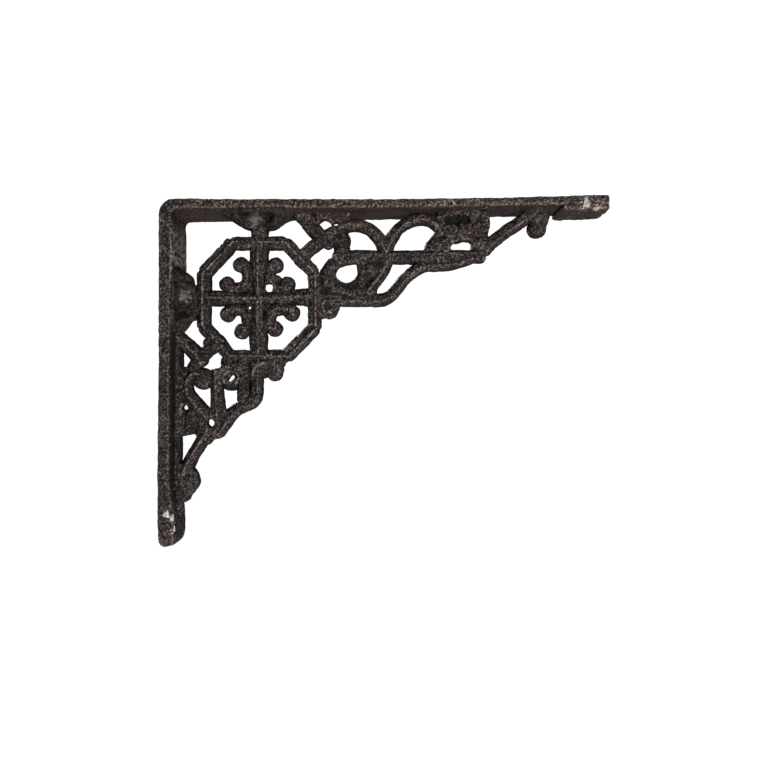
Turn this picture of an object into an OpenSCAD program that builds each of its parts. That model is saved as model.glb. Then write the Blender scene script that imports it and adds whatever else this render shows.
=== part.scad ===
// Cast-iron shelf bracket with pierced scrollwork.
// Frame: wall face on x = 0, shelf face on z = 0, scrollwork in the plane y = 0.
// The shelf arm runs along +X, the wall leg runs down -Z, the widths lie along Y.

/* [Plates] */
// Length of the shelf arm from the wall face to its end
arm_len = 202.2; // [200:0.1:208]
// Length of the wall leg from the shelf face to its end
leg_len = 156.4; // [152:0.2:162]
// Width of both plates at the corner
plate_w_corner = 25; // [22:0.5:28]
// Width of both plates at their ends
plate_w_tip = 19; // [16:0.5:22]
// Thickness of the wall leg at the corner
leg_t_top = 4.8; // [4.2:0.1:6]
// Thickness of the wall leg at its lower end
leg_t_tip = 4.5; // [4.5:0.1:4.8]
// Thickness of the shelf arm
arm_t = 4.1; // [3.6:0.1:4.4]
// Radius of the outer corner
corner_r = 4.6; // [2:0.2:4.8]
// How far the pad under the arm's end stands below the arm
tip_pad_t = 2.4; // [1:0.1:3]

/* [Scrollwork] */
// Thickness of the scrollwork
web_t = 6.4; // [5:0.2:9]
// Width of an octagon bar
ring_w = 5.6; // [4.5:0.5:7]
// Outer size of the octagon across its flats
ring_size = 57.8; // [57:0.2:59]
// Width of the cross inside the octagon
cross_w = 5; // [4:0.2:7]
// Radius of the ball ends of the corner scrolls
ball_r = 3.4; // [3:0.1:4.2]

/* [Screws] */
// Diameter of the screw holes
screw_d = 5.2; // [4:0.1:6]
// Distance of a paired screw hole from the mid-plane
screw_y = 8; // [7.5:0.1:8.4]
// Height of the leg's pair of screw holes below the shelf face
leg_screw_z = 46; // [44:0.5:48]
// Height of the leg's lower screw hole below the shelf face
tip_screw_z = 141.2; // [141.2:0.2:146]
// Distance of the arm's pair of screw holes from the wall face
arm_screw_x = 42.6; // [41:0.2:44]

/* [Hidden] */

iron = [0.24, 0.21, 0.2];
iron_light = [0.3, 0.27, 0.25];
round_fn = 48;
through = 60;                     // long enough to cut right through the bracket

ring_c = [42.4, -43.5];           // centre of the octagon
ring_half = ring_size / 2;
ring_flat = 14.1;                 // half length of an outer flat
hole_half = ring_half - ring_w;
hole_flat = 11.5;                 // half length of an inner flat
cross_c = [42.5, -43.2];          // where the cross bars meet
boss_floor = 1.5;                 // metal left under a screw head above the plate
leg_boss_x = ring_c[0] - ring_half;
arm_boss_z = -10.2;
recess_y = 9.5;                   // centre of a screwdriver recess, from the mid-plane
leg_recess_r = 8;
arm_recess_r = 7.6;

// ---- outlines: points and paths in the X-Z plane ----

// Points of an arc from angle a0 to a1 about c.
function arc(c, r, a0, a1, n = 6) =
    [for (i = [0:n]) let (a = a0 + (a1 - a0) * i / n) c + r * [cos(a), sin(a)]];

// One point of the smooth curve through four neighbours.
function spline_at(a, b, c, d, t) =
    0.5 * (2 * b + (c - a) * t + (2 * a - 5 * b + 4 * c - d) * t * t
           + (3 * b - a - 3 * c + d) * t * t * t);

// Smooth curve through all points of a path.
function smooth(p, n = 4) = concat(
    [for (i = [0:len(p) - 2], k = [0:n - 1])
        spline_at(p[max(i - 1, 0)], p[i], p[i + 1], p[min(i + 2, len(p) - 1)], k / n)],
    [p[len(p) - 1]]);

// Unit vector to the left of the path at point i.
function left_of(p, i) =
    let (d = p[min(i + 1, len(p) - 1)] - p[max(i - 1, 0)]) [-d[1], d[0]] / norm(d);

// A bar of constant width along a smooth path.
module band(path, w) {
    p = smooth(path);
    last = len(p) - 1;
    polygon(concat(
        [for (i = [0:last]) p[i] + left_of(p, i) * w / 2],
        [for (i = [last:-1:0]) p[i] - left_of(p, i) * w / 2]));
}

// A straight bar between two points.
module bar(a, b, w) band([a, (a + b) / 2, b], w);

module ball(c, r) translate(c) circle(r, $fn = round_fn);

// A bar whose width changes along its smooth path: each row is x, z, width.
module swelling_band(rows) {
    q = smooth(rows);
    p = [for (r = q) [r[0], r[1]]];
    last = len(p) - 1;
    polygon(concat(
        [for (i = [0:last]) p[i] + left_of(p, i) * q[i][2] / 2],
        [for (i = [last:-1:0]) p[i] - left_of(p, i) * q[i][2] / 2]));
}

// Octagon with corners at half size h and flats of half length f.
function octagon(h, f) =
    [[-h, -f], [-h, f], [-f, h], [f, h], [h, f], [h, -f], [f, -h], [-f, -h]];

// Stands an X-Z outline up as a slab of thickness t about the mid-plane.
module slab(t) rotate([90, 0, 0]) linear_extrude(t, center = true) children();

module leg_outline() polygon(concat(
    arc([corner_r, -corner_r], corner_r, 90, 180),
    arc([3, 3 - leg_len], 3, 180, 250),
    [[leg_t_tip - 0.8, 0.4 - leg_len], [leg_t_tip, 1.6 - leg_len], [leg_t_top, -6], [leg_t_top, 0]]));

module arm_outline() polygon(concat(
    [[leg_t_top, 0], [arm_len - 1.5, 0], [arm_len, -1.2], [arm_len - 0.6, -arm_t]],
    arc([leg_t_top + 3, -arm_t - 3], 3, 90, 180)));

module ring_solid() translate(ring_c) polygon(octagon(ring_half, ring_flat));
module ring_hole() translate(ring_c) polygon(octagon(hole_half, hole_flat));

module leg_boss_outline() polygon([
    [3, -28], [leg_t_top, -28.6], [11.8, -32.5], [11.8, -36.6], [leg_boss_x, -37.8],
    [leg_boss_x, -51.4], [10.6, -53], [8.4, -56], [6.5, -58], [3, -58.4]]);

module arm_boss_outline() polygon([
    [26, -3], [28, -4.6], [36.5, arm_boss_z], [49.6, arm_boss_z], [57, -4.6], [59, -3]]);

module plates() {
    leg_outline();
    arm_outline();
}

// Everything in the corner that the scrollwork meets.
module corner_parts() {
    plates();
    ring_solid();
    leg_boss_outline();
    arm_boss_outline();
}

// ---- plates, bosses and pad ----

// Plan outline of a plate of length len: x along it, y across it.
module plate_plan(len) {
    half0 = plate_w_corner / 2;
    half1 = plate_w_tip / 2;
    r = 4;
    polygon(concat(
        [[0, -half0], [len - r, -half1]],
        arc([len - r, r - half1], r, -90, 0),
        arc([len - r, half1 - r], r, 0, 90),
        [[0, half0]]));
}

// A hole along Z through the arm at plan position x, y.
module arm_hole(x, y, d) translate([x, y, 0]) cylinder(h = through, d = d, center = true, $fn = round_fn);

// A hole along X through the leg at height z and width position y.
module leg_hole(y, z, d) translate([0, y, z]) rotate([0, 90, 0])
    cylinder(h = through, d = d, center = true, $fn = round_fn);

module leg_screw_holes() for (side = [-1, 1]) leg_hole(side * screw_y, -leg_screw_z, screw_d);
module arm_screw_holes() for (side = [-1, 1]) arm_hole(arm_screw_x, side * screw_y, screw_d);

module wall_leg() color(iron) difference() {
    intersection() {
        slab(plate_w_corner + 2) leg_outline();
        rotate([0, 90, 0]) linear_extrude(through, center = true) plate_plan(leg_len);
    }
    leg_screw_holes();
    leg_hole(0, -tip_screw_z, screw_d);
    translate([leg_t_tip - 1.2, 0, -tip_screw_z]) rotate([0, 90, 0])
        cylinder(h = 4, d1 = screw_d, d2 = screw_d + 8, $fn = round_fn);
}

module shelf_arm() color(iron) difference() {
    intersection() {
        slab(plate_w_corner + 2) arm_outline();
        linear_extrude(through, center = true) plate_plan(arm_len);
    }
    arm_screw_holes();
}

module arm_tip_pad() color(iron) intersection() {
    slab(plate_w_corner) polygon([
        [180.6, -arm_t], [183.4, -arm_t - tip_pad_t], [arm_len - 1.2, -arm_t - tip_pad_t + 0.5],
        [arm_len - 0.6, -arm_t]]);
    linear_extrude(through, center = true) plate_plan(arm_len);
}

// A boss that thins from the mid-plane to the plate's edge, with a recess for each screw head.
module leg_screw_boss() color(iron_light) difference() {
    half = 11.4;
    edge_x = leg_t_top + boss_floor + 1;
    intersection() {
        slab(2 * half) difference() { leg_boss_outline(); leg_outline(); }
        linear_extrude(4 * through, center = true) polygon([
            [0, -half], [edge_x, -half], [leg_boss_x, -web_t / 2],
            [leg_boss_x, web_t / 2], [edge_x, half], [0, half]]);
    }
    for (side = [-1, 1])
        translate([leg_t_top + boss_floor, side * recess_y, -leg_screw_z]) rotate([0, 90, 0])
            cylinder(h = 20, r = leg_recess_r, $fn = round_fn);
    leg_screw_holes();
}

module arm_screw_boss() color(iron_light) difference() {
    half = 11.2;
    edge_z = -arm_t - boss_floor - 0.6;
    intersection() {
        slab(2 * half) difference() { arm_boss_outline(); arm_outline(); }
        rotate([90, 0, 90]) linear_extrude(4 * through, center = true) polygon([
            [-half, 0], [-half, edge_z], [-web_t / 2, arm_boss_z],
            [web_t / 2, arm_boss_z], [half, edge_z], [half, 0]]);
    }
    for (side = [-1, 1])
        translate([arm_screw_x, side * recess_y, -arm_t - boss_floor - 20])
            cylinder(h = 20, r = arm_recess_r, $fn = round_fn);
    arm_screw_holes();
}

// ---- octagon with its cross and four corner scrolls ----

module octagon_ring() color(iron) slab(web_t) difference() { ring_solid(); ring_hole(); }

module octagon_stem() color(iron) slab(web_t)
    bar([arm_screw_x, ring_c[1] + ring_half], [arm_screw_x, arm_boss_z], 7.4);

// The upright of the cross, flared where it meets the octagon.
module upright_outline() translate([cross_c[0], ring_c[1]]) {
    w = cross_w / 2;
    flare = w + 1.6;
    neck = hole_half - 3.6;
    polygon([
        [-flare, -hole_half], [-w, -neck], [-w, neck], [-flare, hole_half],
        [flare, hole_half], [w, neck], [w, -neck], [flare, -hole_half]]);
}

module cross_bar_outline(side) {
    inner = cross_c[0] + side * cross_w / 2;
    outer = ring_c[0] + side * hole_half;
    bar([inner, cross_c[1]], [outer, cross_c[1]], cross_w);
}

module cross_upright() color(iron) slab(web_t) upright_outline();
module cross_bar_left() color(iron) slab(web_t) cross_bar_outline(-1);
module cross_bar_right() color(iron) slab(web_t) cross_bar_outline(1);

// A C-scroll whose back lies in the corner of the cross, with a ball at each end.
// tall and wide are the two ball centres, measured from the middle of the cross.
module scroll(side_x, side_z, tall, wide) color(iron_light) slab(web_t) difference() {
    translate(cross_c) scale([side_x, side_z]) {
        band([tall, tall + [-3, -1.6], [5.2, 8.8], [6.8, 6.2], [10, 4.9], wide + [-1.4, -2.4], wide], 4.3);
        ball(tall, ball_r);
        ball(wide, ball_r);
        polygon([[2, 2], [2, 10], [6, 8], [8, 5], [11, 2]]);
    }
    upright_outline();
    for (side = [-1, 1]) cross_bar_outline(side);
}

module scroll_upper_left() scroll(-1, 1, [8.1, 15.1], [15, 6.7]);
module scroll_upper_right() difference() {
    scroll(1, 1, [7.6, 14.9], [13, 6.8]);
    slab(through) ball([47.3, -38.1], 2);
}
module scroll_lower_left() scroll(-1, -1, [7, 15.1], [14.1, 6.9]);
module scroll_lower_right() scroll(1, -1, [6.9, 13.6], [14.3, 6.3]);

// ---- scrollwork under the shelf arm ----

module arm_brace_outline() {
    band([[60.7, -25.5], [65.8, -21], [71.3, -16.8], [75.8, -13.8], [79.9, -12]], 5.6);
    band([[62.6, -2], [68.2, -11.4], [72.4, -15.6], [76, -18]], 6.6);
}

module inner_arch_outline()
    swelling_band([
        [80.6, -22.6, 7.4], [80.5, -19, 7.4], [80, -15.6, 7.8], [81, -12.4, 6.8], [83.9, -10.3, 5.6],
        [87.9, -9.8, 5.4], [92, -10.7, 5.4], [95.7, -12.9, 5.4], [98.8, -16.4, 5.4], [101.6, -22, 5.4]]);

module outer_arch_outline()
    band([[100.9, -22], [104.3, -15.3], [107.6, -11], [111.9, -8.2], [117.1, -6.8], [122.2, -7.6],
          [126.2, -10.8], [127.6, -14.4]], 5.2);

module middle_rail_outline() bar([75.8, -23.8], [147.3, -24.3], 5.6);

module lower_rail_outline()
    band([[70, -43.9], [90, -43.9], [98, -44], [102.6, -42.8], [106.3, -39.1], [109.5, -34.7],
          [114, -30.9], [118.1, -28.9], [122.2, -28.1], [131.2, -27.9], [137, -26.4], [141, -24.6]], 5.5);

module curl_outline() ball([75.2, -48.1], 4.4);

// Solid panel between the two rails, pierced by one round eye.
module loop_panel_outline() difference() {
    polygon([
        [70.2, -30.2], [72.3, -27.2], [75.6, -24.6], [80, -24], [105.2, -24], [103.6, -27.8],
        [101.7, -32.1], [99.7, -36.8], [97.7, -38.4], [98.2, -39.8], [100.4, -41], [100.4, -43],
        [70.2, -43]]);
    polygon(concat(
        arc([83.3, -32.1], 5.3, 100, 290, 10),
        [[87.6, -34], [88.6, -31.5], [87.9, -27.5], [85.6, -26.9]]));
}

// Rough leaf panel that fills the space between the outer arch and the strut.
module leaf_panel_outline() difference() {
    polygon([
        [126, -2], [124.4, -13.5], [121.6, -16.9], [120.2, -18.8], [119.8, -22.5], [149.4, -22.5],
        [149.6, -15.4], [148.6, -12.6], [148.4, -2]]);
    polygon([
        [130.9, -19.6], [131.8, -17.8], [135.2, -16.9], [138.4, -16.6], [140.6, -17.7], [141.3, -20],
        [140, -21.4], [131.9, -21.4]]);
}

module strut_outline()
    band([[145.6, -24], [150.3, -18.6], [156.3, -14.1], [163.3, -9.6], [170.4, -4.5], [173, -2]], 5.7);

module pendant_outline() {
    ball([171.2, -12.6], 4.3);
    polygon([
        [166.4, -2], [167, -11], [171.2, -13.6], [175.2, -12], [176.9, -9.8], [177.4, -7], [177.4, -2]]);
}

module arm_cross_brace() color(iron) slab(web_t)
    difference() { arm_brace_outline(); corner_parts(); }

module arm_inner_arch() color(iron_light) slab(web_t) difference() {
    inner_arch_outline();
    arm_outline();
    arm_brace_outline();
    middle_rail_outline();
}

module arm_outer_arch() color(iron) slab(web_t) difference() {
    outer_arch_outline();
    arm_outline();
    inner_arch_outline();
    middle_rail_outline();
}

module arm_middle_rail() color(iron_light) slab(web_t) difference() {
    middle_rail_outline();
    arm_brace_outline();
}

module arm_lower_rail() color(iron) slab(web_t) difference() {
    lower_rail_outline();
    ring_solid();
    middle_rail_outline();
}

module arm_curl() color(iron_light) slab(web_t) difference() {
    curl_outline();
    ring_solid();
    lower_rail_outline();
}

module arm_loop_panel() color(iron) slab(web_t) difference() {
    loop_panel_outline();
    ring_solid();
    arm_brace_outline();
    middle_rail_outline();
    lower_rail_outline();
}

module arm_leaf_panel() color(iron_light) slab(web_t) difference() {
    leaf_panel_outline();
    arm_outline();
    outer_arch_outline();
    middle_rail_outline();
}

module arm_strut() color(iron) slab(web_t) difference() {
    strut_outline();
    arm_outline();
    middle_rail_outline();
    leaf_panel_outline();
    lower_rail_outline();
    pendant_outline();
}

module arm_pendant() color(iron_light) slab(web_t) difference() {
    pendant_outline();
    arm_outline();
}

// ---- scrollwork beside the wall leg ----

module border_outline() polygon([[2, -57], [6.5, -57], [6.5, -131], [5.4, -134.5], [2, -135]]);

module leg_brace_outline() {
    band([[24.4, -63], [18, -68], [14.4, -72], [11.6, -76.4]], 6);
    band([[3, -60.3], [10.4, -66.4], [14.6, -70.6], [17.4, -74.6]], 7);
}

module hook_outline()
    swelling_band([
        [21.6, -81.4, 3], [20.6, -81.2, 6.6], [18.6, -80.8, 9.2], [16.2, -80.2, 9.4], [12.8, -80, 6],
        [10.4, -83.4, 4.8], [10.2, -88, 4.8], [12.8, -91.6, 4.8], [16, -95.2, 4.8], [18.6, -99, 4.8]]);

module stem_outline() bar([23.1, -76.2], [23.1, -97.5], 5.8);

module ring_scroll_outline() difference() {
    union() {
        ball([30, -80.2], 5.9);
        polygon([[24.8, -69], [25.5, -72.6], [24.2, -75.6], [25, -80], [33, -80], [33, -70]]);
    }
    polygon([[27.6, -81.4], [28.6, -82.4], [30.4, -81.4], [32, -79.2], [31, -78.1], [29.2, -79]]);
}

module inner_rail_outline() bar([35.6, -70], [35.6, -92.6], 5.6);

module outer_rail_outline()
    band([[41.7, -70], [41.7, -82], [41.7, -88.4], [39.5, -91.8], [35.4, -93.4], [31.4, -96.1],
          [28.2, -99.9], [25.7, -104.1], [23.6, -107]], 5.8);

module leg_curl_outline() polygon(concat(
    [[42, -72], [53.9, -72]],
    arc([49.8, -77.9], 3.9, 40, -120, 12),
    [[42, -80.4]]));

module knot_outline() difference() {
    polygon([
        [15.2, -97.4], [19.4, -93.7], [26.8, -94.6], [31.4, -96], [26.2, -106], [24.6, -108],
        [21.6, -108.6], [19.2, -111], [13.6, -106.2]]);
    ball([20.6, -100.6], 1.8);
}

module leaf_outline() difference() {
    polygon([
        [5, -75.4], [9.4, -75.4], [11, -80], [11, -90], [14.6, -96], [16.4, -98], [15.4, -106],
        [12, -106.1], [8, -106.6], [5, -107]]);
    ball([9.1, -93.9], 1.7);
}

module leg_strut_outline()
    band([[19.8, -103], [18, -107.2], [15.2, -111.6], [12.5, -116.1], [10, -121.1], [8.4, -125]], 5.8);

module leg_pendant_outline() polygon([
    [3, -121.6], [9, -119.6], [13, -122.2], [14.6, -124.8], [15.6, -128.3], [14.3, -130.4], [12.8, -132.9],
    [11.6, -133.9], [10.8, -136.2], [9.6, -137], [8.2, -136.4], [6.4, -135.4], [3, -135]]);

module leg_border() color(iron_light) slab(web_t) difference() {
    border_outline();
    leg_outline();
    leg_boss_outline();
}

module leg_cross_brace() color(iron) slab(web_t) difference() {
    leg_brace_outline();
    corner_parts();
    border_outline();
}

module leg_hook_scroll() color(iron_light) slab(web_t) difference() {
    hook_outline();
    leg_brace_outline();
    border_outline();
    knot_outline();
}

module leg_stem() color(iron) slab(web_t) difference() {
    stem_outline();
    leg_brace_outline();
    hook_outline();
    knot_outline();
}

module leg_ring_scroll() color(iron_light) slab(web_t) difference() {
    ring_scroll_outline();
    ring_solid();
    stem_outline();
}

module leg_inner_rail() color(iron) slab(web_t) difference() {
    inner_rail_outline();
    ring_solid();
    ring_scroll_outline();
    outer_rail_outline();
}

module leg_outer_rail() color(iron_light) slab(web_t) difference() {
    outer_rail_outline();
    ring_solid();
}

module leg_curl() color(iron) slab(web_t) difference() {
    leg_curl_outline();
    ring_solid();
    outer_rail_outline();
}

module leg_knot() color(iron) slab(web_t) difference() {
    knot_outline();
    outer_rail_outline();
}

module leg_leaf() color(iron) slab(web_t) difference() {
    leaf_outline();
    border_outline();
    leg_brace_outline();
    hook_outline();
    knot_outline();
}

module leg_strut() color(iron_light) slab(web_t) difference() {
    leg_strut_outline();
    border_outline();
    leaf_outline();
    knot_outline();
    leg_pendant_outline();
}

module leg_pendant() color(iron) slab(web_t) difference() {
    leg_pendant_outline();
    leg_outline();
    border_outline();
}

wall_leg();
shelf_arm();
arm_tip_pad();
leg_screw_boss();
arm_screw_boss();
octagon_ring();
octagon_stem();
cross_upright();
cross_bar_left();
cross_bar_right();
scroll_upper_left();
scroll_upper_right();
scroll_lower_left();
scroll_lower_right();
arm_cross_brace();
arm_inner_arch();
arm_outer_arch();
arm_middle_rail();
arm_lower_rail();
arm_curl();
arm_loop_panel();
arm_leaf_panel();
arm_strut();
arm_pendant();
leg_border();
leg_cross_brace();
leg_hook_scroll();
leg_stem();
leg_ring_scroll();
leg_inner_rail();
leg_outer_rail();
leg_curl();
leg_knot();
leg_leaf();
leg_strut();
leg_pendant();
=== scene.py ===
import bmesh
import bpy
import math
import numpy as np
from mathutils import Matrix, Vector


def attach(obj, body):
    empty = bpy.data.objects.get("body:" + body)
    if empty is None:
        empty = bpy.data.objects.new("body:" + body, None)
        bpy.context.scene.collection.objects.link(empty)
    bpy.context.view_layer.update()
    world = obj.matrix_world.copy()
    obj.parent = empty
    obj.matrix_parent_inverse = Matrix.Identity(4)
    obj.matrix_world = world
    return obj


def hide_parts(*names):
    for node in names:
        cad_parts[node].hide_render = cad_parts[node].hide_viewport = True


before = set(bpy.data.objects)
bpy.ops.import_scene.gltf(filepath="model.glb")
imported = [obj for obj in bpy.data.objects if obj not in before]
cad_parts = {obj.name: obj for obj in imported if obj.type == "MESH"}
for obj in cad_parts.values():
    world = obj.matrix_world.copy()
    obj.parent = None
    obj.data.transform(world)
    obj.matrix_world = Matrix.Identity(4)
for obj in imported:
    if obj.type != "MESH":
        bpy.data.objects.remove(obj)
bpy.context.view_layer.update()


# ---------------------------------------------------------------------------
# Iron skin. The whole bracket is one sand casting in grey iron, left as cast
# and blackened. Its skin is a grain of sand-sized bumps, brown-black, with
# pale specks on the grain's tops that are painted glints, and painted shade
# in the hollows.
# ---------------------------------------------------------------------------
def tree_node(tree, kind, inputs=None, **settings):
    """Adds one shader node, sets its options, then its input values or links."""
    node = tree.nodes.new(kind)
    for key, value in settings.items():
        setattr(node, key, value)
    for key, value in (inputs or {}).items():
        if isinstance(value, bpy.types.NodeSocket):
            tree.links.new(value, node.inputs[key])
        else:
            node.inputs[key].default_value = value
    return node


def group_of(name, inputs, outputs):
    """An empty node group with its sockets, and its input and output nodes' sockets."""
    group = bpy.data.node_groups.new(name, "ShaderNodeTree")
    for label, kind, value in inputs:
        socket = group.interface.new_socket(name=label, in_out="INPUT", socket_type=kind)
        socket.default_value = value
    for label, kind in outputs:
        group.interface.new_socket(name=label, in_out="OUTPUT", socket_type=kind)
    given = group.nodes.new("NodeGroupInput").outputs
    result = group.nodes.new("NodeGroupOutput").inputs
    return group, given, result


def between(tree, value, low, high, to_low=0.0, to_high=1.0):
    """A value's place between low and high, limited, as a share from to_low to to_high."""
    made = tree_node(tree, "ShaderNodeMapRange",
                     {"Value": value, "From Min": low, "From Max": high,
                      "To Min": to_low, "To Max": to_high})
    return made.outputs["Result"]


def combined(tree, operation, a, b):
    """Two values put together by one operation of arithmetic."""
    return tree_node(tree, "ShaderNodeMath", {0: a, 1: b}, operation=operation).outputs[0]


def blended(tree, share, a, b):
    """Colour a with a share of colour b laid over it."""
    made = tree_node(tree, "ShaderNodeMix", {"Factor": share, "A": a, "B": b}, data_type="RGBA")
    return made.outputs["Result"]


def sand_skin_group():
    """The cast skin from place, facing and curvature: sand grain, stains, painted glints on the grain's
    tops, worn ridges that also paint highlight lines, painted shade in hollows and grooves, and a painted
    shadow and painted light on the leg's inner face.
    """
    group, given, result = group_of(
        "sand_skin",
        [("Dark", "NodeSocketColor", (0.03, 0.024, 0.022, 1)),
         ("Brown", "NodeSocketColor", (0.06, 0.04, 0.032, 1)),
         ("Glint_Colour", "NodeSocketColor", (0.64, 0.525, 0.48, 1)),
         ("Glint_Share", "NodeSocketFloat", 0.5),
         ("Wear_And_Sheen", "NodeSocketFloat", 0.5),
         ("Groove_Shade", "NodeSocketFloat", 0.0),
         ("Plain", "NodeSocketFloat", 0.0)],
        [("Color", "NodeSocketColor"), ("Roughness", "NodeSocketFloat"),
         ("Metallic", "NodeSocketFloat"), ("Height", "NodeSocketFloat")])
    place = group.nodes.new("ShaderNodeTexCoord").outputs["Object"]
    shape = group.nodes.new("ShaderNodeNewGeometry").outputs
    where = tree_node(group, "ShaderNodeSeparateXYZ", {"Vector": place}).outputs
    facing = tree_node(group, "ShaderNodeSeparateXYZ", {"Vector": shape["Normal"]}).outputs

    def noise(scale, detail, rough=0.6):
        made = tree_node(group, "ShaderNodeTexNoise",
                         {"Vector": place, "Scale": scale, "Detail": detail, "Roughness": rough})
        return made.outputs["Fac"]

    def share(value, low, high, to_low=0.0, to_high=1.0):
        return between(group, value, low, high, to_low, to_high)

    def times(a, b):
        return combined(group, "MULTIPLY", a, b)

    def over(cover, a, b):
        return blended(group, cover, a, b)

    grain = noise(1080, 3, 0.75)
    pits = noise(500, 3, 0.65)
    patch = noise(150, 3, 0.6)
    stain = noise(95, 4, 0.6)
    rust = share(noise(70, 3, 0.6), 0.6, 0.68, 0.0, 0.5)

    # Masks: near the middle plane, where grooves get painted shade; undersides; faces turned to the arm's
    # end; hollows, which get painted shade; and ridges.
    low = share(combined(group, "ABSOLUTE", where["Y"], 0.0), 0.0015, 0.0030, 1.0, 0.0)
    under = times(share(facing["Z"], -0.5, -0.8), given["Plain"])
    inner = times(share(facing["X"], 0.4, 0.75), given["Plain"])
    hollow_shade = share(shape["Pointiness"], 0.44, 0.502, 1.0, 0.0)
    ridge = share(shape["Pointiness"], 0.505, 0.55)
    # The leg's inner face gets a painted shadow from its screw boss down to its tip, and painted light above
    # the boss.
    shaded = times(times(inner, share(where["Z"], -0.05, -0.064)), share(where["Z"], -0.142, -0.136))
    painted_light = times(inner, times(share(where["Z"], -0.043, -0.034), share(where["Z"], -0.008, -0.016)))

    body = over(share(stain, 0.42, 0.58), given["Dark"], given["Brown"])
    # Painted light: the leg's inner face above its boss is made pale tan.
    body = over(times(painted_light, 0.9), body, (0.27, 0.23, 0.19, 1))
    body = over(share(pits, 0.46, 0.58, 0.97, 0.0), body, (0.0012, 0.0008, 0.0008, 1))
    body = over(times(under, 0.75), body, (0.036, 0.020, 0.0165, 1))
    body = over(times(rust, share(pits, 0.4, 0.5)), body, (0.075, 0.042, 0.024, 1))

    # Painted glints: pale specks on the grain's tops, fewer on undersides and the leg's inner face.
    painted_glint = combined(group, "POWER", share(grain, 0.44, 0.66), 2.0)
    painted_glint = times(painted_glint, share(patch, 0.4, 0.58, 0.3, 1.0))
    painted_glint = times(painted_glint, given["Glint_Share"])
    painted_glint = times(painted_glint, share(combined(group, "MAXIMUM", under, inner), 0.0, 1.0, 1.0, 0.3))
    # Worn ridges, pale where rubbed, which also paint the highlight lines along the ridges.
    worn_ridge_sheen = times(times(ridge, share(grain, 0.46, 0.56)), given["Wear_And_Sheen"])
    tone = over(combined(group, "MAXIMUM", painted_glint, worn_ridge_sheen), body, given["Glint_Colour"])

    # Painted shade: near black in the hollows, near the middle plane between the bars' faces, and on the
    # leg's inner face below its boss.
    painted_shade = combined(group, "MAXIMUM", hollow_shade, times(low, given["Groove_Shade"]))
    painted_shade = combined(group, "MAXIMUM", painted_shade, times(shaded, 0.85))
    tone = over(times(painted_shade, 0.92), tone, (0.003, 0.0025, 0.0025, 1))

    group.links.new(tone, result["Color"])
    group.links.new(share(grain, 0.4, 0.62, 0.6, 0.36), result["Roughness"])
    group.links.new(times(painted_glint, 0.6), result["Metallic"])
    group.links.new(combined(group, "ADD", times(grain, 0.8), times(pits, 1.2)), result["Height"])
    return group


def mark_group():
    """Mask of one marked place, fading out over Reach from the Centre and broken by scratches. Marks serve
    for wear, stains, painted shade and painted highlights.
    """
    group, given, result = group_of(
        "mark",
        [("Centre", "NodeSocketVector", (0, 0, 0)), ("Reach", "NodeSocketFloat", 0.003)],
        [("Mask", "NodeSocketFloat")])
    place = group.nodes.new("ShaderNodeTexCoord").outputs["Object"]
    gap = tree_node(group, "ShaderNodeVectorMath", {0: place, 1: given["Centre"]},
                    operation="DISTANCE").outputs["Value"]
    core = combined(group, "MULTIPLY", given["Reach"], 0.3)
    near = between(group, gap, given["Reach"], core, 0.32, 0.56)
    scratch = tree_node(group, "ShaderNodeTexNoise",
                        {"Vector": place, "Scale": 520.0, "Detail": 4.0, "Roughness": 0.7,
                         "Distortion": 0.6})
    left = combined(group, "SUBTRACT", near, scratch.outputs["Fac"])
    group.links.new(between(group, left, 0.0, 0.04), result["Mask"])
    return group


sand_skin = sand_skin_group()
mark = mark_group()


def iron(name, dark, brown, glint_share, wear_and_sheen, bump=1.0, groove_shade=0.0, plain=0.0, marks=()):
    """Cast iron of its own tone. The glint share and the ridge wear say how much is pale: painted glints on
    the grain, and worn ridges that also paint highlight lines. The groove shade is painted shade near the
    middle plane, plain turns on the flanges' own masks, and marks are rows of centre, reach and colour."""
    made = bpy.data.materials.new(name)
    made.use_nodes = True
    tree = made.node_tree
    tree.nodes.clear()
    skin = tree_node(tree, "ShaderNodeGroup", node_tree=sand_skin)
    skin.inputs["Dark"].default_value = (*dark, 1)
    skin.inputs["Brown"].default_value = (*brown, 1)
    skin.inputs["Glint_Share"].default_value = glint_share
    skin.inputs["Wear_And_Sheen"].default_value = wear_and_sheen
    skin.inputs["Groove_Shade"].default_value = groove_shade
    skin.inputs["Plain"].default_value = plain
    tone = skin.outputs["Color"]
    for centre, reach, colour in marks:
        spot = tree_node(tree, "ShaderNodeGroup", node_tree=mark)
        spot.inputs["Centre"].default_value = centre
        spot.inputs["Reach"].default_value = reach
        tone = blended(tree, spot.outputs["Mask"], tone, (*colour, 1))
    rise = tree_node(tree, "ShaderNodeBump",
                     {"Height": skin.outputs["Height"], "Strength": bump, "Distance": 0.0012})
    shade = tree_node(tree, "ShaderNodeBsdfPrincipled",
                      {"Base Color": tone, "Roughness": skin.outputs["Roughness"],
                       "Metallic": skin.outputs["Metallic"], "Normal": rise.outputs["Normal"],
                       "Specular IOR Level": 0.2})
    out = tree_node(tree, "ShaderNodeOutputMaterial")
    tree.links.new(shade.outputs["BSDF"], out.inputs["Surface"])
    return made


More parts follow.
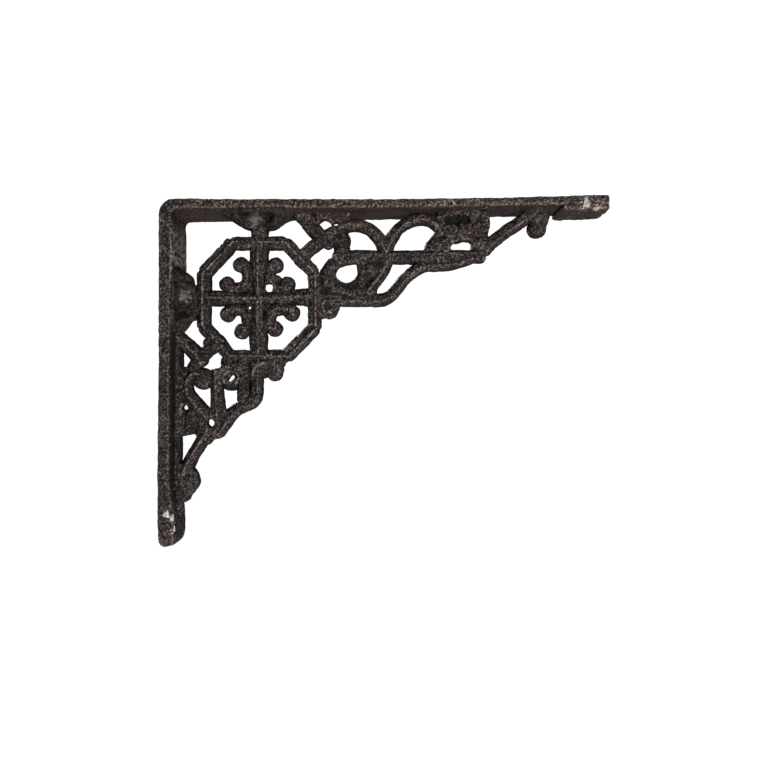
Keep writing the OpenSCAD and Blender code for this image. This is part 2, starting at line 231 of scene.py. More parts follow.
# ---------------------------------------------------------------------------
# Wall leg. The flat flange that is screwed to the wall, 25 mm wide and 5 to
# 6 mm thick. It turns the outer corner in a small round, narrows to 20 mm at
# its lower end, and is rounded and rubbed bright there.
# ---------------------------------------------------------------------------
def smooth_rows(points, steps):
    """Rows on the smooth curve through all given rows, by the Catmull-Rom blend of four neighbours."""
    p = np.asarray(points, float)
    q = np.vstack([2 * p[0] - p[1], p, 2 * p[-1] - p[-2]])
    t = (np.arange(steps) / steps)[None, :, None]
    a, b, c, d = (q[k:len(q) - 3 + k, None, :] for k in range(4))
    rows = 0.5 * (2 * b + (c - a) * t + (2 * a - 5 * b + 4 * c - d) * t ** 2
                  + (3 * b - a - 3 * c + d) * t ** 3)
    return np.vstack([rows.reshape(-1, p.shape[1]), p[-1:]])


def loft(rings):
    """Closed skin over a row of like sections: rings[i, j] is point j of section i. Both ends are capped."""
    n, m = rings.shape[:2]
    i, j = np.meshgrid(np.arange(n - 1), np.arange(m), indexing="ij")
    k = (j + 1) % m
    sides = np.stack([i * m + j, i * m + k, (i + 1) * m + k, (i + 1) * m + j], -1).reshape(-1, 4)
    first = list(range(m - 1, -1, -1))
    last = list(range((n - 1) * m, n * m))
    return rings.reshape(-1, 3), sides.tolist() + [first, last]


def bar(points, thick=6.2, power=2.4, steps=6, ends=1.6, crest=0.0, lean=0.0, slim=0.2):
    """A bar of the casting: the closed profile |a|^p + |b|^p = 1, a across the bar and b along Y, carried
    along a smooth path. points are rows of x, z, width in millimetres, and a fourth number is the thickness
    there. ends is the length over which each end rounds off as a quarter ellipse. A crest, as a share of the
    half thickness, stands along both faces at a = lean: b is multiplied by
    1 + crest * exp(-((a - lean) / slim)^2)."""
    rows = np.array([list(p) + [thick] * (4 - len(p)) for p in points], float)
    rows = smooth_rows(rows, steps)
    run = np.concatenate([[0], np.cumsum(np.linalg.norm(np.diff(rows[:, :2], axis=0), axis=1))])
    cap = np.linspace(0, 1, 5)[:-1] * ends
    stops = np.unique(np.concatenate([cap, run, run[-1] - cap]))
    rows = np.stack([np.interp(stops, run, rows[:, k]) for k in range(4)], 1)
    along = np.gradient(rows[:, :2], stops, axis=0)
    along /= np.linalg.norm(along, axis=1)[:, None]
    near = np.clip(np.minimum(stops, stops[-1] - stops) / ends, 0, 1)
    close = np.sqrt(np.clip(1 - (1 - near) ** 2, 0.0025, 1))
    turn = np.linspace(0, 2 * np.pi, 44, endpoint=False)
    a = np.sign(np.cos(turn)) * np.abs(np.cos(turn)) ** (2 / power)
    b = np.sign(np.sin(turn)) * np.abs(np.sin(turn)) ** (2 / power)
    b = b * (1 + crest * np.exp(-((a - lean) / slim) ** 2))
    across = (rows[:, 2] / 2 * close)[:, None] * a[None, :]
    ring = np.empty((len(stops), len(turn), 3))
    ring[..., 0] = rows[:, 0:1] - along[:, 1:2] * across
    ring[..., 2] = rows[:, 1:2] + along[:, 0:1] * across
    ring[..., 1] = (rows[:, 3] / 2 * close)[:, None] * b[None, :]
    return loft(ring)


def post(centre, axis, radius, length, flare=1.0):
    """A round cutter: a circle carried along axis 0, 1 or 2, flare times wider at its far end."""
    turn = np.linspace(0, 2 * np.pi, 40, endpoint=False)
    ring = np.zeros((2, 40, 3))
    others = [k for k in range(3) if k != axis]
    wide = radius * np.array([[1.0], [flare]])
    ring[..., others[0]] = wide * np.cos(turn)
    ring[..., others[1]] = wide * np.sin(turn)
    ring[..., axis] = np.array([-length / 2, length / 2])[:, None]
    return loft(ring + np.array(centre, float))


def lumps(p, cell, seed):
    """Smooth random heights, about -1 to 1: seeded values at a lattice's corners, blended in between."""
    table = np.random.default_rng(seed).uniform(-1, 1, 4096)
    at = np.floor(p / cell).astype(np.int64)
    f = p / cell - at
    f = f * f * (3 - 2 * f)
    total = np.zeros(len(p))
    for corner in np.ndindex(2, 2, 2):
        step = np.array(corner)
        key = ((at + step) * np.array([73856093, 19349663, 83492791])).sum(1)
        total += np.prod(np.where(step, f, 1 - f), axis=1) * table[key % 4096]
    return total


def bent(place):
    """The casting's own crookedness, in millimetres. Past x = 90 the arm rises by
    arm_lift ((x - 90) / 100)^2, before x = 125 its flange sags by arm_sag sin(pi x / 125), and near the
    wall the leg leans back by leg_lean (z / 156)^2."""
    arm_lift = 1.75
    arm_sag = 0.15
    leg_lean = 1.1
    x = place[:, 0]
    z = place[:, 2]
    lift = arm_lift * (np.clip(x - 90, 0, None) / 100) ** 2
    sag = -arm_sag * np.sin(np.pi * np.clip(x / 125, 0, 1)) * np.clip((z + 9) / 5, 0, 1)
    lean = -leg_lean * (np.clip(-z, 0, None) / 156) ** 2 * np.clip(1 - x / 30, 0, 1)
    return np.stack([x + lean, place[:, 1], z + (lift + sag)], 1)


def skin_object(name, shells):
    """One object from several closed skins."""
    points, faces = [], []
    for verts, quads in shells:
        start = sum(len(p) for p in points)
        points.append(verts)
        faces += [[k + start for k in face] for face in quads]
    mesh = bpy.data.meshes.new(name)
    mesh.from_pydata(np.vstack(points), [], faces)
    made = bpy.data.objects.new(name, mesh)
    bpy.context.scene.collection.objects.link(made)
    return made


def turned_outwards(thing):
    """Gives every closed skin of an object outward faces."""
    work = bmesh.new()
    work.from_mesh(thing.data)
    bmesh.ops.recalc_face_normals(work, faces=work.faces)
    work.to_mesh(thing.data)
    work.free()


def finished_mesh(thing):
    """The object's mesh with its modifiers worked in."""
    bpy.context.view_layer.update()
    graph = bpy.context.evaluated_depsgraph_get()
    return bpy.data.meshes.new_from_object(thing.evaluated_get(graph))


def casting(name, finish, shells, cuts=(), cell=0.34, rough=1.0, soft=3):
    """Pours one feature, in millimetres: overlapping skins are fused on a fine cell grid, cutters are taken
    away, corners are softened as sand rounds them, and the skin is swelled and roughened by lumps along its
    normals."""
    raw = skin_object(name + "_raw", shells)
    used = [raw]
    fuse = raw.modifiers.new("fuse", "REMESH")
    fuse.mode = "VOXEL"
    fuse.voxel_size = cell
    if cuts:
        cutter = skin_object(name + "_cut", cuts)
        used.append(cutter)
        turned_outwards(cutter)
        take = raw.modifiers.new("cut", "BOOLEAN")
        take.operation = "DIFFERENCE"
        take.object = cutter
        take.solver = "EXACT"
        take.use_self = len(cuts) > 1
        again = raw.modifiers.new("again", "REMESH")
        again.mode = "VOXEL"
        again.voxel_size = cell
    ease = raw.modifiers.new("ease", "SMOOTH")
    ease.factor = 0.5
    ease.iterations = soft
    mesh = finished_mesh(raw)
    for thing in used:
        bpy.data.objects.remove(thing)
    place = np.empty(len(mesh.vertices) * 3)
    mesh.vertices.foreach_get("co", place)
    place = place.reshape(-1, 3)
    outward = np.empty(len(mesh.vertices) * 3)
    mesh.vertex_normals.foreach_get("vector", outward)
    outward = outward.reshape(-1, 3)
    swell = 0.4
    rise = 0.17 * lumps(place, 5.2, 1) + 0.2 * lumps(place, 2.1, 2) + 0.13 * lumps(place, 1.0, 3)
    place = bent(place + outward * (swell + rise * rough)[:, None])
    mesh.vertices.foreach_set("co", (place * 0.001).ravel())
    mesh.polygons.foreach_set("use_smooth", np.ones(len(mesh.polygons), bool))
    mesh.update()
    mesh.name = name
    mesh.materials.clear()
    mesh.materials.append(finish)
    piece = bpy.data.objects.new(name, mesh)
    bpy.context.scene.collection.objects.link(piece)
    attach(piece, "root")
    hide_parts(name)
    return piece


bare_metal = (0.7, 0.62, 0.58)
dull_metal = (0.6, 0.52, 0.48)
# Leg tip marks. The first is painted shade, a near-black spot in the tip's countersink; the other three are
# bright scratches.
leg_scratches_and_shade = [
    ((0.0064, -0.002, -0.1385), 0.008, (0.001, 0.0008, 0.0008)),
    ((0.0024, -0.0098, -0.1410), 0.0028, bare_metal),
    ((0.005, -0.0098, -0.1438), 0.0036, bare_metal),
    ((0.0064, -0.009, -0.1486), 0.003, bare_metal)]
leg_iron = iron("leg_iron", (0.020, 0.0130, 0.0115), (0.043, 0.028, 0.0240), 0.62, 0.5,
                plain=1.0, marks=leg_scratches_and_shade)
leg_path = [
    (3.3, -156.9, 3.4, 13), (3.1, -155.8, 5.2, 16), (2.9, -153.6, 6.5, 18), (2.85, -150, 6.8, 18.8),
    (2.85, -147, 6.9, 19), (2.35, -134, 5.9, 19.8), (1.9, -126, 5.2, 20.4), (1.95, -100, 5.0, 21.4),
    (2.05, -46, 5.0, 23.4), (2.3, -28, 5.5, 24), (2.3, -12, 5.5, 24.4), (2.2, -7, 5.2, 24.4),
    (3.4, -3.5, 5, 24.4), (7, -2.05, 4.3, 24.4), (16, -1.9, 3.9, 24.2)]
leg_screw_z = -46
leg_holes = [post((2, side * 8, leg_screw_z), 0, 3, 12) for side in (-1, 1)]
tip_screw_z = -141
tip_hole = post((5.2, 0, tip_screw_z), 0, 2.4, 5.2, 2.2)
tip_shank = post((1, 0, tip_screw_z), 0, 2.9, 12)
casting("wall_leg", leg_iron, [bar(leg_path, power=12, ends=1.0)], leg_holes + [tip_hole, tip_shank],
        cell=0.42, rough=0.7, soft=2)


# ---------------------------------------------------------------------------
# Shelf arm and its end pad. The flange that carries the shelf, about 4 mm
# thick, 25 mm wide at the corner and under 20 mm at the end, where a pad is
# cast on below. Sand-rough edges, smoother and browner underneath.
# ---------------------------------------------------------------------------
arm_marks = [
    ((0.1905, -0.0095, -0.0022), 0.004, dull_metal),
    ((0.196, -0.0092, -0.0045), 0.0035, (0.5, 0.38, 0.26)),
    ((0.132, -0.0105, -0.0016), 0.0015, dull_metal)]
arm_iron = iron("arm_iron", (0.022, 0.0148, 0.0132), (0.048, 0.0315, 0.0265), 0.72, 0.5, plain=1.0,
                marks=arm_marks)
arm_path = [
    (9, -1.9, 3.9, 24.6), (60, -1.7, 3.4, 22.6), (120, -1.7, 3.2, 21), (155, -1.65, 3.0, 20),
    (180, -1.8, 3.4, 19.3), (197, -2.0, 3.6, 18.8), (200, -2.05, 3.6, 18.2), (201.6, -2.05, 3.6, 16.8),
    (202.3, -2.05, 3.5, 15)]
arm_screw_x = 42.6
arm_holes = [post((arm_screw_x, side * 7.8, -2), 2, 2.7, 12) for side in (-1, 1)]
casting("shelf_arm", arm_iron, [bar(arm_path, power=12, ends=0.8)], arm_holes,
        cell=0.42, rough=0.7, soft=2)

pad_path = [
    (181.5, -3.6, 3.0, 18.4), (184, -4.4, 3.0, 18.8), (198, -4.5, 3.2, 18.6), (200.8, -4.4, 3.6, 18),
    (202, -4.2, 3.8, 15.6)]
casting("arm_tip_pad", arm_iron, [bar(pad_path, power=9, ends=0.8)], soft=2)


# ---------------------------------------------------------------------------
# Screw bosses. Under each flange a hump is cast where the scrollwork meets
# it, as deep as the scrollwork in the middle and thin at the flange's edge.
# A round recess each side takes the screw and its driver. Its wall carries a painted highlight.
# ---------------------------------------------------------------------------
def boss(rows, across_leg):
    """A hump on a flange. rows are its place along the flange and its height there. Each section is a
    roof, full height over the middle and falling straight to its edges, on a foot sunk in the flange."""
    rows = smooth_rows(rows, 5)
    reach = np.array([-11.2, -11.2, -3, 3, 11.2, 11.2])
    share = np.array([0, 0.28, 1, 1, 0.28, 0])
    foot = 2.5
    ring = np.empty((len(rows), len(reach), 3))
    height = foot + (rows[:, 1:2] - foot) * share[None, :]
    ring[..., 1] = reach[None, :]
    ring[..., 0] = height if across_leg else rows[:, 0:1]
    ring[..., 2] = rows[:, 0:1] if across_leg else -height
    return loft(ring)


# Painted highlights: a pale patch in the middle of each boss's recess wall.
boss_painted_highlights = [
    ((0.0083, -0.0028, -0.042), 0.0048, (0.13, 0.11, 0.098)),
    ((0.041, -0.0028, -0.0068), 0.0062, (0.12, 0.098, 0.088))]
boss_iron = iron("boss_iron", (0.014, 0.0085, 0.0075), (0.03, 0.018, 0.015), 0.2, 0.0, bump=0.5,
                 marks=boss_painted_highlights)
recess_y = 13.2
recess_radius = 10.8
leg_hump = [
    (-26, 3.4), (-29, 5.6), (-32.8, 10.8), (-36.4, 11.8), (-38.4, 13.8), (-51, 13.8), (-53, 11),
    (-57.4, 7.4), (-60, 3.4)]
leg_recess = [post((17.0, side * recess_y, leg_screw_z), 0, recess_radius, 22) for side in (-1, 1)]
casting("leg_screw_boss", boss_iron, [boss(leg_hump, True)], leg_recess + leg_holes, rough=0.7, soft=4)

arm_hump = [(24, 3), (29, 5.6), (36.5, 10.1), (43, 10.4), (49.6, 10.1), (57, 4.8), (61, 3)]
arm_recess = [post((arm_screw_x, side * recess_y, -16.3), 2, recess_radius, 22) for side in (-1, 1)]
casting("arm_screw_boss", boss_iron, [boss(arm_hump, False)], arm_recess + arm_holes, rough=0.7, soft=4)


# ---------------------------------------------------------------------------
# Octagon and its stem. An eight-sided frame of ridged bar in the bracket's
# corner, cast onto the leg's boss and hung from the arm's boss by a stem.
# ---------------------------------------------------------------------------
scroll_iron = iron("scroll_iron", (0.013, 0.0090, 0.0082), (0.032, 0.0212, 0.0182), 0.5, 0.5, groove_shade=0.95)
corners = [
    (30, -17.4), (17.1, -31), (17, -56), (29.2, -69.8), (55.4, -69.9), (68.5, -56.5), (68.3, -31.3),
    (54.9, -17.3)]
side_widths = [6.2, 6.0, 5.8, 5.4, 6.2, 5.7, 5.7, 5.6]
side_leans = [0.2, 0, 0.1, 0, -0.35, -0.25, 0, 0]
overlap = 1.2
sides = []
for (x0, z0), (x1, z1), w, lean in zip(corners, corners[1:] + corners[:1], side_widths, side_leans):
    reach = np.array([x1 - x0, z1 - z0]) / math.hypot(x1 - x0, z1 - z0) * overlap
    path = [(x0 - reach[0], z0 - reach[1], w), ((x0 + x1) / 2, (z0 + z1) / 2, w),
            (x1 + reach[0], z1 + reach[1], w)]
    sides.append(bar(path, power=2.6, ends=2.4, crest=0.26, lean=lean, slim=0.15))
casting("octagon_ring", scroll_iron, sides)
stem = [(42.9, -18, 7.4), (42.9, -14, 7.2), (42.9, -9, 8.6)]
casting("octagon_stem", scroll_iron, [bar(stem, power=2.6)])


# ---------------------------------------------------------------------------
# Cross and corner scrolls. A cross of straight bars fills the octagon, and in
# each of its corners sits a C-shaped scroll with a ball at both ends.
# ---------------------------------------------------------------------------
cross_bars = {
    "cross_upright": [
        (42.5, -70, 9), (42.5, -66, 7.8), (42.4, -61, 8.4), (42.4, -57, 7.2), (42.4, -52, 5),
        (42.5, -44, 4.8), (42.5, -36, 4.8), (42.5, -30, 7), (42.5, -26, 8.4), (42.6, -22, 8.2),
        (42.7, -17.6, 8.6)],
    "cross_bar_left": [(18.5, -42.9, 7), (24, -42.9, 7), (32, -43, 5.4), (43.5, -43.2, 5)],
    "cross_bar_right": [
        (41.5, -43.2, 5), (52, -42.9, 5.2), (57, -42.4, 6.8), (61, -42.4, 7), (66.5, -42.4, 8.4)]}
for name, path in cross_bars.items():
    casting(name, scroll_iron, [bar(path, power=2.1, crest=0.2, slim=0.16)])


def knob(x, z, r, thick=6.4, power=2.3, at_y=0.0):
    """A ball end, flattened along Y: the profile |a|^p + |b|^p = 1 turned about Y."""
    t = np.linspace(-np.pi / 2, np.pi / 2, 11)[1:-1]
    out = np.cos(t) ** (2 / power) * r
    up = np.sign(np.sin(t)) * np.abs(np.sin(t)) ** (2 / power) * thick / 2
    turn = np.linspace(0, 2 * np.pi, 28, endpoint=False)
    ring = np.empty((len(t), len(turn), 3))
    ring[..., 0] = x + out[:, None] * np.cos(turn)
    ring[..., 1] = at_y + up[:, None]
    ring[..., 2] = z + out[:, None] * np.sin(turn)
    return loft(ring)


def c_scroll(tall, wide, sx, sz, ball):
    """A scroll in one corner of the cross: a curved bar from its tall ball, past the middle, to its wide
    ball."""
    mid = np.array([42.5, -43.1])
    side = np.array([sx, sz])
    inner = [mid + side * np.array(q) for q in ((5.1, 9.2), (6.4, 6.2), (9.4, 4.9))]
    tall, wide = np.array(tall), np.array(wide)
    start = tall + side * np.array([-2.2, -0.6])
    stop = wide + side * np.array([-0.6, -1.6])
    path = [(*tall, 3.8), (*start, 4.8)] + [(*q, 5.4) for q in inner] + [(*stop, 4.8), (*wide, 3.8)]
    web = bar([(*(mid + side * 2.2), 5, 3.2), (*(mid + side * 5.4), 5.4, 3.2)])
    return [bar(path, power=2.0, crest=0.16, slim=0.16), knob(*tall, ball), knob(*wide, ball), web]


casting("scroll_upper_left", scroll_iron, c_scroll((34.2, -27.4), (27.7, -36.2), -1, 1, 3.4))
casting("scroll_upper_right", scroll_iron,
        c_scroll((50.2, -27.6), (55.9, -36.4), 1, 1, 3.4) + [knob(50.7, -34.8, 2.5, 5)],
        [post((47.4, 0, -38), 1, 2.3, 30)])
casting("scroll_lower_left", scroll_iron, c_scroll((34.6, -58.2), (27.9, -50.5), -1, -1, 3.4),
        [post((38.2, 0, -47.3), 1, 1.1, 30)])
casting("scroll_lower_right", scroll_iron, c_scroll((49.9, -57), (57.8, -49.8), 1, -1, 3.6))


# ---------------------------------------------------------------------------
# Scrollwork under the arm: a cross brace from the octagon, two arches on a
# middle rail, a lower rail that steps up towards the arm's end, a loop panel
# with an eye, a rough leaf panel, and the last strut with its pendant.
# ---------------------------------------------------------------------------
def plate(outline, thick=5.0, edge=1.1, steps=1):
    """A flat panel: its closed outline carried through its thickness and drawn in at both faces by a
    quarter round. With more than one step the outline is smoothed through its points."""
    p = np.asarray(outline, float)
    if steps > 1:
        p = smooth_rows(np.vstack([p, p[:1]]), steps)[:-1]
    side = np.roll(p, -1, 0) - np.roll(p, 1, 0)
    inward = np.stack([-side[:, 1], side[:, 0]], 1) / np.linalg.norm(side, axis=1)[:, None]
    area = np.sum(p[:, 0] * np.roll(p[:, 1], -1) - np.roll(p[:, 0], -1) * p[:, 1])
    inward *= np.sign(area)
    t = np.linspace(0, np.pi / 2, 4)
    draw = np.concatenate([edge * (1 - np.cos(t))[::-1], edge * (1 - np.cos(t))])
    up = np.concatenate([-(thick / 2 - edge) - edge * np.sin(t)[::-1],
                         thick / 2 - edge + edge * np.sin(t)])
    flat = p[None] + draw[:, None, None] * inward[None]
    ring = np.empty((len(up), len(p), 3))
    ring[..., 0] = flat[..., 0]
    ring[..., 1] = up[:, None]
    ring[..., 2] = flat[..., 1]
    return loft(ring)


casting("arm_cross_brace", scroll_iron, [
    bar([(59.6, -26.6, 6.4), (65.8, -20.6, 5.6), (71.3, -16.3, 5.6), (75.8, -13.2, 5.6), (80.4, -11.6, 5)]),
    bar([(61.8, -1.5, 9), (64.6, -6.2, 7), (68.2, -11.2, 6.4), (72.4, -15.4, 6), (77, -18.4, 5)])])

inner_arch = [
    (77, -14, 5), (79.4, -11.4, 5.2), (82.9, -9.6, 5.2), (87.9, -9, 5.2), (92, -10, 5.2), (95.7, -12.5, 5.2),
    (98.8, -16.1, 5.6), (101.8, -22.4, 6.4)]
arch_web = [(69, -3), (84.5, -3), (84.5, -9), (79.6, -14), (74, -14.6), (70, -9)]
arch_eyes = [post((73.3, 0, -9.3), 1, 3.3, 30), post((78.3, 0, -9.1), 1, 1.7, 30)]
casting("arm_inner_arch", scroll_iron, [
    bar(inner_arch, power=2.2, crest=0.2, slim=0.16), plate(arch_web, thick=4.4), knob(80.7, -16.3, 4.4),
    bar([(80.4, -16, 6), (81, -20, 6.8), (81, -23, 7.6)], crest=0.2)], arch_eyes)

outer_arch = [
    (100.4, -23, 6.4), (104.0, -15.4, 5.4), (107.4, -10.9, 5), (111.9, -7.9, 4.8), (117.1, -6.6, 4.8),
    (122.2, -7.4, 5), (126.4, -10.6, 5), (128.4, -15, 5)]
casting("arm_outer_arch", scroll_iron, [bar(outer_arch, power=2.2, crest=0.2, lean=-0.3)])

middle_rail = [
    (76.6, -24.6, 3.6), (82, -23.8, 5.4), (110, -24.1, 5.6), (130, -24.2, 5.6), (147.4, -24.2, 5.4)]
casting("arm_middle_rail", scroll_iron, [bar(middle_rail, power=2.8, crest=0.15, lean=0.3)])

lower_rail = [
    (69, -43.7, 6), (90, -43.7, 5.6), (98, -43.9, 5.6), (102.7, -42.6, 5.2), (106.4, -39, 4.9),
    (109.6, -34.8, 4.9), (114, -31, 5), (118.1, -28.6, 5.2), (122.2, -27.9, 5.2), (131.2, -27.6, 5.2),
    (137, -26.2, 5), (142.4, -24.2, 5)]
casting("arm_lower_rail", scroll_iron, [bar(lower_rail, power=2.2, crest=0.18, lean=-0.35)])

curl_iron = iron("curl_iron", (0.018, 0.016, 0.0165), (0.034, 0.028, 0.027), 0.5, 0.6, groove_shade=0.5,
                 marks=[((0.0755, -0.003, -0.0495), 0.0016, (0.6, 0.52, 0.5))])
casting("arm_curl", curl_iron, [
    knob(75.1, -48, 4.2), knob(77.2, -46.7, 2.8, 5.4), knob(72, -50, 2.2, 5),
    bar([(70.5, -44.5, 6), (75, -47, 6)])],
    [knob(74.6, -47.2, 2.4, 3.4, at_y=side * 3.4) for side in (-1, 1)])

loop_bar = [
    (92, -26, 5), (86, -25.4, 4.6), (80, -26.6, 5), (75.6, -29.6, 5.4), (74, -33.2, 5.4), (76.4, -37.2, 5.2),
    (81, -40, 5), (88, -40.4, 5), (97, -40.4, 4.6)]
loop_web = [(86, -24), (103, -24), (99, -34), (96.5, -38), (92, -43), (71, -43), (71, -30), (75, -25)]
loop_eye = [
    (83.2, -26.8), (79.6, -28.4), (78, -32), (79.8, -35), (83.1, -36.4), (86.6, -35), (88.6, -32.4),
    (88.4, -28.4), (87.4, -26.7)]
loop_dimples = [knob(x, z, r, 3.4, at_y=side * 2.9)
                for side in (-1, 1) for x, z, r in ((71.6, -36, 1.9), (73.2, -39.2, 2.6))]
casting("arm_loop_panel", scroll_iron, [
    bar(loop_bar, power=2.0),
    bar([(90.6, -25, 4.6), (90.8, -30, 5), (90.4, -35, 5), (91, -41, 5)], power=2.0, thick=5.2),
    bar([(102.6, -25, 4.8), (100.7, -29.4, 4.8), (98, -34, 4.6), (94.4, -38.4, 5), (93, -42, 5)],
        power=2.0, crest=0.2),
    knob(94.6, -29.6, 3.2), plate(loop_web, thick=3.6)],
    [plate(loop_eye, thick=20, edge=0.1, steps=4), *loop_dimples])

leaf_web = [
    (125.4, -1), (124.6, -13), (121.6, -16.5), (120.2, -18.8), (119.6, -23), (148, -23), (148.8, -15.6),
    (148, -12.6), (147.8, -1)]
leaf_slot = [
    (131, -19.6), (132, -17.6), (135.2, -17), (138.4, -16.4), (140.8, -17.6), (141.4, -20), (140, -21.5),
    (131.9, -21.5)]
leaf_pocket = [knob(x, -7.6, 3.1, 5.6, at_y=side * 3.2) for side in (-1, 1) for x in (130.6, 134.4, 138.2)]
casting("arm_leaf_panel", scroll_iron, [
    plate(leaf_web, thick=4.6), knob(124.6, -19.6, 4.6), knob(130.2, -14.4, 3.2, 7.4),
    knob(136.4, -13.6, 3, 7.2), knob(144.6, -12.2, 4.4, 7.4), knob(145.6, -18.6, 4.2, 6.8),
    bar([(127, -16, 3), (129.6, -19.6, 3.4), (127.6, -22.6, 3)], thick=7),
    bar([(140, -4, 4), (146.6, -6, 5), (147, -12, 4)], thick=7)],
    [plate(leaf_slot, thick=20, edge=0.1, steps=3), *leaf_pocket], rough=1.9)

arm_strut = [
    (146.4, -23, 4.8), (147.8, -21, 5.2), (150.3, -18.1, 5.6), (156.3, -13.6, 5.5), (163.3, -9, 5.4),
    (170.4, -4, 5.4), (174, -1.6, 5.4)]
casting("arm_strut", scroll_iron, [bar(arm_strut, power=2.2, crest=0.18, lean=-0.3)])
casting("arm_pendant", scroll_iron, [
    knob(171.2, -12.2, 4.2, 6.6), bar([(171.6, -1.6, 10.8), (171.8, -7, 10), (171.4, -12, 7)], thick=5.8)])


# ---------------------------------------------------------------------------
# Scrollwork beside the leg: a bead along the flange, a cross brace, a hook
# scroll, a stem, a ring scroll, two rails, a curl, and the knot, leaf, strut
# and pendant that close the pattern. The bead and the leaf lie in the shade
# of the flange, and their darker iron is painted shade.
# ---------------------------------------------------------------------------
# Painted shade: the darker iron of the bead and the leaf.
shade_iron = iron("shade_iron", (0.007, 0.0045, 0.004), (0.019, 0.0115, 0.0098), 0.3, 0.4, groove_shade=0.6)
bead = [(4.6, -56, 4), (4.6, -60, 4), (4.6, -95, 4), (4.6, -128, 4), (4.2, -133.6, 3.4)]
casting("leg_border", shade_iron, [bar(bead, power=2.2, thick=6.6)])
casting("leg_cross_brace", scroll_iron, [
    bar([(26.4, -61.6, 6.6), (23.6, -63.6, 6), (18, -68, 6), (14.4, -72, 6), (11.4, -77, 5.6)], power=2.0),
    bar([(4, -60, 6), (10.4, -65.8, 6.4), (14.6, -70.2, 6.8), (17, -74.2, 5.6)], power=2.0, crest=0.2),
    knob(19.4, -63.6, 2.6, 4.6)])

hook = [
    (16.8, -78.6, 5), (12.6, -78, 4.6), (9.8, -81.6, 4.4), (10, -86.6, 5), (12.6, -91, 6.2),
    (16.3, -94.9, 6.2), (19, -99, 5)]
casting("leg_hook_scroll", scroll_iron, [knob(16.8, -80.2, 4.9, 6.8), bar(hook, power=2.0, crest=0.2)])
casting("leg_stem", scroll_iron, [
    bar([(22.9, -75.5, 5.4), (23.1, -85, 5.2), (23.5, -92, 6), (23.6, -98, 7)], power=2.0, crest=0.2)])

ring_arch = [
    (24.9, -83.6, 2.4), (24.5, -79, 3), (26.6, -75.4, 3.2), (30.2, -74.1, 3.2), (33.8, -75.6, 3.2),
    (35.9, -79, 3)]
small_ring = [
    (27.4, -82.6, 1.6), (26.8, -79.4, 1.8), (29.4, -76.8, 1.8), (32.6, -77.4, 1.8), (33.4, -80.6, 1.8),
    (31.4, -83.4, 1.6)]
ring_slot = [(28.3, -82.0, 2.5, 20), (29.9, -80.2, 2.9, 20), (31.4, -78.5, 2.5, 20)]
casting("leg_ring_scroll", scroll_iron, [
    knob(30, -80, 5.7, 4.8), bar([(28.4, -69.6, 6), (28.6, -74, 7), (30, -78, 8)], thick=4),
    bar(ring_arch, thick=6.6, power=2.1), bar(small_ring, thick=6, power=2)],
    [bar(ring_slot, ends=0.9)])
casting("leg_inner_rail", scroll_iron, [
    bar([(35.4, -70, 6), (35.6, -80, 5.4), (35.4, -91.5, 5.4)], power=2.2)])

outer_rail = [
    (41.6, -70, 6), (41.6, -82, 5.6), (41.5, -88, 5.6), (39, -91.5, 5.6), (35, -93, 5.6), (31, -95.7, 5.6),
    (27.8, -99.5, 5.6), (25.2, -103.7, 5.4), (23.4, -106.4, 5)]
casting("leg_outer_rail", scroll_iron, [bar(outer_rail, power=2.2, crest=0.18, lean=0.3)])

curl_ridge = [
    (40.6, -78.6, 2.8), (41.2, -75.4, 2.8), (44.4, -73.2, 3), (48.4, -72.9, 3), (51.8, -74.6, 2.8),
    (52.7, -77.6, 2.6)]
casting("leg_curl", scroll_iron, [
    knob(49.9, -77.6, 3.6, 6.4), knob(52.4, -73, 2.2, 4.4),
    bar([(43, -76.6, 8, 5.0), (47, -75.8, 7, 4.6), (50, -76.2, 6, 4.6)]),
    bar(curl_ridge, thick=7.4, power=2.0)])

knot_web = [
    (15.2, -97), (19.4, -93.7), (26.8, -94.6), (31.4, -96), (26.2, -105.4), (24.6, -107.6), (21.6, -108.2),
    (19.2, -110.6), (13.6, -106)]
knot_loop = [(17.2, -98, 3.4), (16.8, -102, 3.4), (19.6, -104.6, 3.4), (23.6, -103.4, 3.4), (24.4, -99, 3.4)]
casting("leg_knot", scroll_iron, [
    plate(knot_web, thick=5), bar(knot_loop, thick=6.6), knob(18.6, -107.6, 3, 6.2)],
    [post((20.5, 0, -100.6), 1, 2.1, 30)])

shade_web = [
    (4.6, -75), (9.4, -75), (11, -80), (11, -90), (14.6, -96), (16.4, -98), (15.4, -105.8), (12, -105.9),
    (8, -106.4), (4.6, -106.8)]
casting("leg_leaf", shade_iron, [
    plate(shade_web, thick=4), bar([(6.9, -78, 2.6), (7, -90, 2.8), (7, -105.4, 2.6)], thick=5.8),
    knob(11.6, -101, 3.4, 6.4), bar([(10, -95, 3), (13.6, -97.4, 3), (15, -101, 3)], thick=6.4)],
    [post((8.6, 0, -93.7), 1, 1.7, 30)], rough=1.4)

leg_strut = [
    (20.4, -102.4, 6), (17.8, -106.8, 5.8), (15.1, -111.2, 5.6), (12.4, -115.7, 5.6), (9.9, -120.7, 5.6),
    (8, -125, 5.2)]
casting("leg_strut", scroll_iron, [bar(leg_strut, power=2.0, crest=0.2)])

pendant_web = [
    (3, -120.4), (9, -119.2), (12.8, -121.8), (14.4, -124.4), (15.3, -128), (14.1, -130.4), (12.6, -133),
    (11.4, -134), (10.6, -136.4), (9.2, -137.2), (7.4, -136.4), (3, -135.4)]
casting("leg_pendant", scroll_iron, [plate(pendant_web, thick=5), knob(11.6, -127.6, 3.6, 7)])


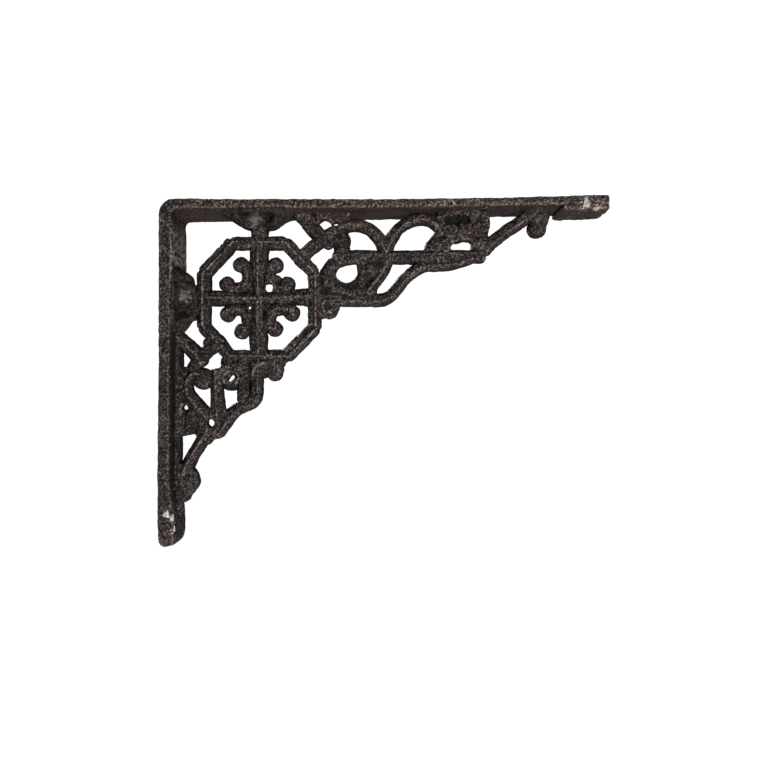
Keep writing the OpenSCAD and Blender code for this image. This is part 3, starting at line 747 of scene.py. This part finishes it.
# ---------------------------------------------------------------------------
# Stage: a pale floor well below the bracket, a white surround, a soft lamp in
# front of the bracket, to the right and a little low, and one behind it. The
# floor and the surround are bright to the camera only, so the iron stays dark.
# ---------------------------------------------------------------------------
floor_half = 4
floor_z = -0.55
floor_corners = [(x, y, floor_z) for x, y in ((-floor_half, -floor_half), (floor_half, -floor_half),
                                              (floor_half, floor_half), (-floor_half, floor_half))]
floor_mesh = bpy.data.meshes.new("floor")
floor_mesh.from_pydata(floor_corners, [], [(0, 1, 2, 3)])
floor = bpy.data.objects.new("floor", floor_mesh)
bpy.context.scene.collection.objects.link(floor)
pale = bpy.data.materials.new("pale_floor")
pale.use_nodes = True
paint = pale.node_tree.nodes["Principled BSDF"].inputs
paint["Base Color"].default_value = (0.92, 0.92, 0.92, 1)
paint["Roughness"].default_value = 0.9
paint["Emission Color"].default_value = (1, 1, 1, 1)
seen = tree_node(pale.node_tree, "ShaderNodeLightPath").outputs["Is Camera Ray"]
pale.node_tree.links.new(between(pale.node_tree, seen, 0.0, 1.0), paint["Emission Strength"])
floor_mesh.materials.append(pale)

world = bpy.data.worlds.new("surround")
bpy.context.scene.world = world
world.use_nodes = True
sky = world.node_tree
sky.nodes.clear()
seen = tree_node(sky, "ShaderNodeLightPath").outputs["Is Camera Ray"]
level = between(sky, seen, 0.0, 1.0, 0.014, 1.1)
white = tree_node(sky, "ShaderNodeBackground", {"Color": (1, 1, 1, 1), "Strength": level})
sky.links.new(white.outputs["Background"], tree_node(sky, "ShaderNodeOutputWorld").inputs["Surface"])
bpy.context.scene.view_settings.view_transform = "Standard"

bracket_middle = (0.08, 0, -0.07)


def soft_lamp(name, place, size, power):
    """A square soft lamp that faces the bracket's middle."""
    data = bpy.data.lights.new(name, "AREA")
    data.size = size
    data.energy = power
    lamp = bpy.data.objects.new(name, data)
    aim = Vector(bracket_middle) - Vector(place)
    lamp.rotation_mode = "QUATERNION"
    lamp.rotation_quaternion = aim.to_track_quat("-Z", "Y")
    lamp.location = place
    bpy.context.scene.collection.objects.link(lamp)


soft_lamp("key", (0.56, -0.78, -0.34), 0.2, 10.4)
soft_lamp("back", (-0.45, 0.8, 0.4), 0.3, 12)

# Camera almost square on to the bracket's side, a little below the octagon.
camera_place = (0.0966, -0.3039, -0.0894)
forward = np.array([-0.012, 1, 0.006])
forward /= np.linalg.norm(forward)
right = np.array([1, 0.012, 0])
right /= np.linalg.norm(right)
up = np.cross(right, forward)
turned = Matrix.Identity(4)
for axis, vector in enumerate((right, up, -forward, camera_place)):
    for k in range(3):
        turned[k][axis] = vector[k]
lens = bpy.data.cameras.new("camera")
lens.sensor_width = 36
lens.lens = 30.70
lens.shift_x = 0.0215
lens.shift_y = 0.0137
lens.clip_start = 0.01
camera = bpy.data.objects.new("camera", lens)
camera.matrix_world = turned
bpy.context.scene.collection.objects.link(camera)
bpy.context.scene.camera = camera
